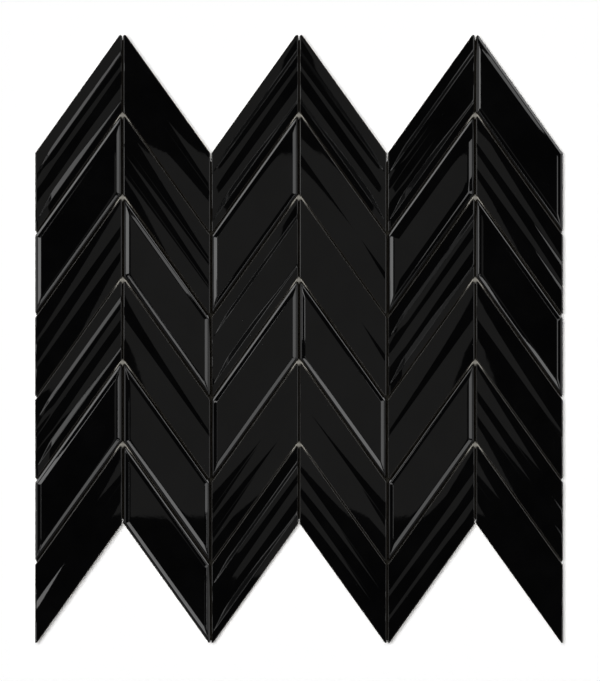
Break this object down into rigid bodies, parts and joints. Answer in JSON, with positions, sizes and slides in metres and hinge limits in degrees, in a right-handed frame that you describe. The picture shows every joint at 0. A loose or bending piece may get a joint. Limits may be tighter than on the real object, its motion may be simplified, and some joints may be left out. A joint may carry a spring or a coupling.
{
  "type": "chevron wall tile",
  "caption": "Mosaic sheet of glossy black glazed parallelogram tiles set in chevrons, with bevelled, lobed and fluted faces, on a mesh backing for bonding to a wall.",
  "frame": {"origin": "middle of the underside of the mesh backing, with the sheet lying flat", "axes": "+X across the columns to the right in the picture, +Y along the columns to the top of the picture, +Z out of the glazed faces"},
  "size_m": [0.2598, 0.2994, 0.008],
  "materials": {
    "black_glaze": "glossy black glaze",
    "mesh": "cream glass-fibre mesh with dried glue"
  },
  "bodies": {
    "root": {"bevel_tile_c1_r2": "black_glaze", "bevel_tile_c1_r5": "black_glaze", "bevel_tile_c2_r3": "black_glaze", "bevel_tile_c2_r5": "black_glaze", "bevel_tile_c2_r6": "black_glaze", "bevel_tile_c3_r2": "black_glaze", "bevel_tile_c3_r4": "black_glaze", "bevel_tile_c4_r4": "black_glaze", "bevel_tile_c5_r2": "black_glaze", "bevel_tile_c5_r5": "black_glaze", "bevel_tile_c6_r1": "black_glaze", "bevel_tile_c6_r3": "black_glaze", "double_lobe_tile_c1_r6": "black_glaze", "double_lobe_tile_c2_r1": "black_glaze", "double_lobe_tile_c2_r4": "black_glaze", "double_lobe_tile_c4_r2": "black_glaze", "double_lobe_tile_c4_r3": "black_glaze", "double_lobe_tile_c4_r5": "black_glaze", "double_lobe_tile_c5_r4": "black_glaze", "double_lobe_tile_c6_r4": "black_glaze", "double_lobe_tile_c6_r6": "black_glaze", "fluted_tile_c1_r1": "black_glaze", "fluted_tile_c1_r4": "black_glaze", "fluted_tile_c3_r1": "black_glaze", "fluted_tile_c3_r3": "black_glaze", "fluted_tile_c3_r6": "black_glaze", "fluted_tile_c4_r1": "black_glaze", "fluted_tile_c5_r1": "black_glaze", "fluted_tile_c5_r3": "black_glaze", "mesh_backing": "mesh", "triple_lobe_tile_c1_r3": "black_glaze", "triple_lobe_tile_c2_r2": "black_glaze", "triple_lobe_tile_c3_r5": "black_glaze", "triple_lobe_tile_c4_r6": "black_glaze", "triple_lobe_tile_c5_r6": "black_glaze", "triple_lobe_tile_c6_r2": "black_glaze", "triple_lobe_tile_c6_r5": "black_glaze"}
  },
  "joints": []
}
